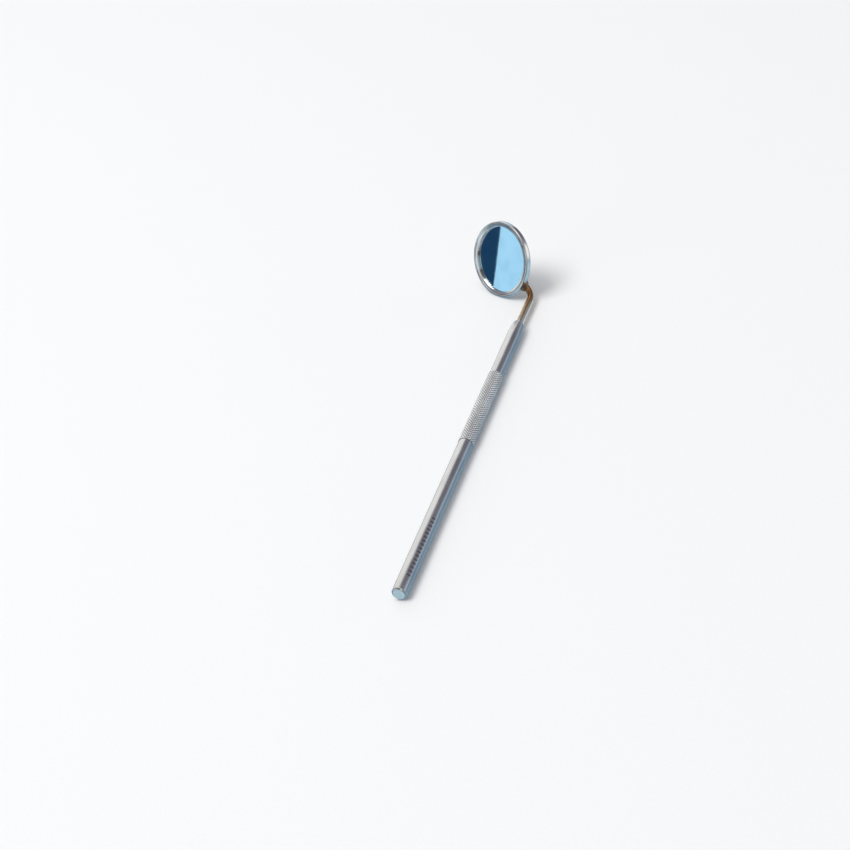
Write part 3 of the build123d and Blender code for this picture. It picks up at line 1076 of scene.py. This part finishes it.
class MIRROR_OT_stage(Operator):
    """Pale paper floor, soft studio light and the camera."""

    bl_idname = "mouth_mirror.stage"
    bl_label = "Stage"

    def execute(self, context):
        scene, stage = context.scene, context.scene.mirror_stage
        self.add_camera(scene, stage)
        self.add_floor(scene, stage)
        self.add_key(scene, stage)
        self.add_card(scene)
        self.add_room(scene)
        return {"FINISHED"}

    def add_camera(self, scene, stage):
        """The camera looks at a point near the object's middle from its azimuth, drop and roll."""
        aim = Vector((-20.5, -1.8, 13.7)) * MM
        flat = Vector((math.sin(stage.camera_azimuth), math.cos(stage.camera_azimuth), 0))
        ahead = flat * math.cos(stage.camera_drop) - Vector((0, 0, math.sin(stage.camera_drop)))
        level_right = ahead.cross(Vector((0, 0, 1))).normalized()
        level_up = level_right.cross(ahead)
        up = level_up * math.cos(stage.camera_roll) + level_right * math.sin(stage.camera_roll)
        right = ahead.cross(up)
        turn = Matrix((right, up, -ahead)).transposed().to_4x4()
        camera = bpy.data.objects.new("camera", bpy.data.cameras.new("camera"))
        camera.data.lens = stage.lens
        camera.data.sensor_width = 36.0
        camera.data.clip_start = 0.01
        camera.data.clip_end = 50.0
        camera.matrix_world = Matrix.Translation(aim - ahead * stage.camera_distance) @ turn
        scene.collection.objects.link(camera)
        scene.camera = camera

    def add_floor(self, scene, stage):
        """A flat square grid of paper, five metres from its middle to each side."""
        count, half, drop = 12, 5.0, 0.01 * MM
        line = np.linspace(-half, half, count)
        across, ahead = np.meshgrid(line, line)
        vertices = np.stack([across, ahead, np.full_like(across, -drop)], axis=-1).reshape(-1, 3)
        index = np.arange(count * count).reshape(count, count)
        corners = (index[:-1, :-1], index[:-1, 1:], index[1:, 1:], index[1:, :-1])
        faces = np.stack(corners, axis=-1).reshape(-1, 4)
        mesh = bpy.data.meshes.new("paper_floor")
        mesh.from_pydata(vertices.tolist(), [], faces.tolist())
        floor = bpy.data.objects.new("paper_floor", mesh)
        floor.data.materials.append(studio_paper(stage))
        # The polished metal reflects the room's lower half in place of the bright paper.
        floor.visible_glossy = False
        scene.collection.objects.link(floor)

    def add_key(self, scene, stage):
        """One overhead softbox, which the polished metal doesn't reflect."""
        place = Vector((-0.5, 1.0, 2.2))
        turn = (-place).to_track_quat("-Z", "Y").to_euler()
        add_softbox(scene, "softbox", 1.6, 1.2, stage.key_power, place, turn, ("camera", "glossy"))

    def add_card(self, scene):
        """A small glowing card of pale blue that fills part of what the mirror reflects."""
        width, distance, aside = 0.12, 0.25, 0.059
        ahead = direction(107.4, 2.0)
        across = ahead.cross(Vector((0, 0, 1))).normalized()
        place = Vector(DISC_CENTRE) + ahead * distance - across * aside
        level = (-ahead).to_track_quat("-Z", "Y").to_matrix().to_4x4()
        turn = (level @ Matrix.Rotation(math.radians(14.5), 4, "Z")).to_euler()
        # This power gives the card a radiance of one, so that it shows in its own colour.
        power = math.pi * width * width
        card = add_softbox(scene, "blue_card", width, width, power, place, turn, ("camera", "diffuse"))
        card.color = linear("#B4E0F6")[:3]

    def add_room(self, scene):
        """Room light by direction: a blend by height, then each patch mixed in within a cone round its own
        direction."""
        world = bpy.data.worlds.new("studio")
        scene.world = world
        world.use_nodes = True
        tree = world.node_tree
        ahead = add_node(tree, "ShaderNodeTexCoord", output="Generated")
        height = add_node(tree, "ShaderNodeSeparateXYZ", links={"Vector": ahead}, output=2)
        share_up = add_node(tree, "ShaderNodeMapRange", {"From Min": -1.0}, {"Value": height})
        heights = [(share, linear(colour)) for share, colour in ROOM_HEIGHTS]
        mixed = add_node(tree, "ShaderNodeValToRGB", links={"Fac": share_up}, stops=heights)
        for azimuth, elevation, inner, outer, colour in ROOM_PATCHES:
            towards = {"operation": "DOT_PRODUCT", 1: tuple(direction(azimuth, elevation))}
            dot = add_node(tree, "ShaderNodeVectorMath", towards, {0: ahead}, output="Value")
            cone = {
                "interpolation_type": "SMOOTHSTEP",
                "From Min": math.cos(math.radians(outer)),
                "From Max": math.cos(math.radians(inner)),
            }
            share = add_node(tree, "ShaderNodeMapRange", cone, {"Value": dot})
            mixed = add_node(
                tree,
                "ShaderNodeMix",
                {"data_type": "RGBA", 7: linear(colour)},
                {0: share, 6: mixed},
                output=2,
            )
        background = tree.nodes["Background"]
        tree.links.new(mixed, background.inputs["Color"])
        # The room is brightest straight overhead.
        overhead = {"From Min": 0.93, "From Max": 0.99, "To Min": 1.0, "To Max": 1.6}
        strength = add_node(tree, "ShaderNodeMapRange", overhead, {"Value": height})
        tree.links.new(strength, background.inputs["Strength"])


class MIRROR_PT_panel(Panel):
    """Lists the sizes, the colours and a button for each piece."""

    bl_idname = "MIRROR_PT_panel"
    bl_label = "Mouth Mirror"
    bl_space_type = "VIEW_3D"
    bl_region_type = "UI"
    bl_category = "Mouth Mirror"

    def draw(self, context):
        scene = context.scene
        for group in (scene.mirror_sizes, scene.mirror_looks, scene.mirror_stage):
            column = self.layout.column()
            for name in group.__annotations__:
                column.prop(group, name)
        for operator in PIECES:
            self.layout.operator(operator.bl_idname)


GROUPS = {
    "mirror_sizes": MIRROR_PG_sizes,
    "mirror_looks": MIRROR_PG_looks,
    "mirror_stage": MIRROR_PG_stage,
}
PIECES = (
    MIRROR_OT_end_plug,
    MIRROR_OT_rear_barrel,
    MIRROR_OT_knurled_grip,
    MIRROR_OT_front_barrel,
    MIRROR_OT_seal_ring,
    MIRROR_OT_stem,
    MIRROR_OT_mirror_cup,
    MIRROR_OT_braze_fillet,
    MIRROR_OT_retaining_ring,
    MIRROR_OT_mirror_glass,
    MIRROR_OT_inner_pieces,
    MIRROR_OT_stage,
)


def register():
    """Register the classes and give the scene its groups of settings."""
    for kind in (*GROUPS.values(), *PIECES, MIRROR_PT_panel):
        bpy.utils.register_class(kind)
    for name, group in GROUPS.items():
        setattr(bpy.types.Scene, name, PointerProperty(type=group))


def unregister():
    """Undo register."""
    for name in GROUPS:
        delattr(bpy.types.Scene, name)
    for kind in reversed((*GROUPS.values(), *PIECES, MIRROR_PT_panel)):
        bpy.utils.unregister_class(kind)


def main():
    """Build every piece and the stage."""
    register()
    for operator in PIECES:
        group, name = operator.bl_idname.split(".")
        getattr(getattr(bpy.ops, group), name)()
    bpy.context.scene.view_settings.view_transform = "Standard"


if __name__ == "__main__":
    main()
